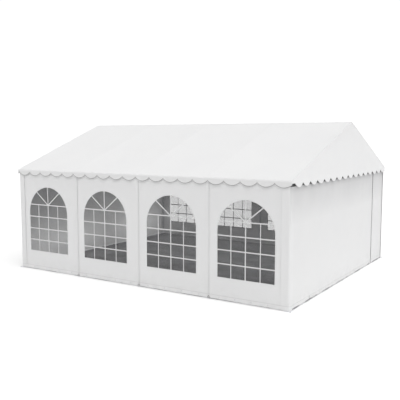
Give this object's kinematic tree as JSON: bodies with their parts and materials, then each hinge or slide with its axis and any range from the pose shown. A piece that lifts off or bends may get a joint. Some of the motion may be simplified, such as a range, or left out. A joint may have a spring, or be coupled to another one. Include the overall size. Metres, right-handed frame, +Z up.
{
  "type": "party marquee tent",
  "caption": "White party marquee with a gable roof, scalloped valances, arched windows along both sides and closed gable ends on a tube frame.",
  "frame": {"origin": "on the ground under the middle of the tent", "axes": "+X along the ridge, +Y across the tent, +Z up; the gables stand at both ends of X"},
  "size_m": [6.272, 5.1214, 3.012],
  "materials": {
    "galvanised_steel": "galvanised, satin",
    "roof_cloth": "coated cloth, satin",
    "wall_cloth": "coated cloth, satin",
    "window_film": "clear flexible film, gloss",
    "groundsheet": "woven sheet, matte"
  },
  "bodies": {
    "root": {"door_curtain_left": "wall_cloth", "door_curtain_right": "wall_cloth", "eave_rail_back": "galvanised_steel", "eave_rail_front": "galvanised_steel", "gable_beam_left": "galvanised_steel", "gable_beam_right": "galvanised_steel", "gable_top_left": "roof_cloth", "gable_top_right": "roof_cloth", "gable_wall_left_back": "wall_cloth", "gable_wall_left_front": "wall_cloth", "gable_wall_right_back": "wall_cloth", "gable_wall_right_front": "wall_cloth", "ground_rail_back": "galvanised_steel", "ground_rail_front": "galvanised_steel", "ground_rail_left": "galvanised_steel", "ground_rail_right": "galvanised_steel", "groundsheet": "groundsheet", "post_back_1": "galvanised_steel", "post_back_2": "galvanised_steel", "post_back_3": "galvanised_steel", "post_back_4": "galvanised_steel", "post_back_5": "galvanised_steel", "post_front_1": "galvanised_steel", "post_front_2": "galvanised_steel", "post_front_3": "galvanised_steel", "post_front_4": "galvanised_steel", "post_front_5": "galvanised_steel", "rafter_back_1": "galvanised_steel", "rafter_back_2": "galvanised_steel", "rafter_back_3": "galvanised_steel", "rafter_back_4": "galvanised_steel", "rafter_back_5": "galvanised_steel", "rafter_front_1": "galvanised_steel", "rafter_front_2": "galvanised_steel", "rafter_front_3": "galvanised_steel", "rafter_front_4": "galvanised_steel", "rafter_front_5": "galvanised_steel", "ridge_rail": "galvanised_steel", "roof_cover_back": "roof_cloth", "roof_cover_front": "roof_cloth", "wall_back_1": "wall_cloth", "wall_back_2": "wall_cloth", "wall_back_3": "wall_cloth", "wall_back_4": "wall_cloth", "wall_front_1": "wall_cloth", "wall_front_2": "wall_cloth", "wall_front_3": "wall_cloth", "wall_front_4": "wall_cloth", "window_film_back_1": "window_film", "window_film_back_2": "window_film", "window_film_back_3": "window_film", "window_film_back_4": "window_film", "window_film_front_1": "window_film", "window_film_front_2": "window_film", "window_film_front_3": "window_film", "window_film_front_4": "window_film"}
  },
  "joints": []
}
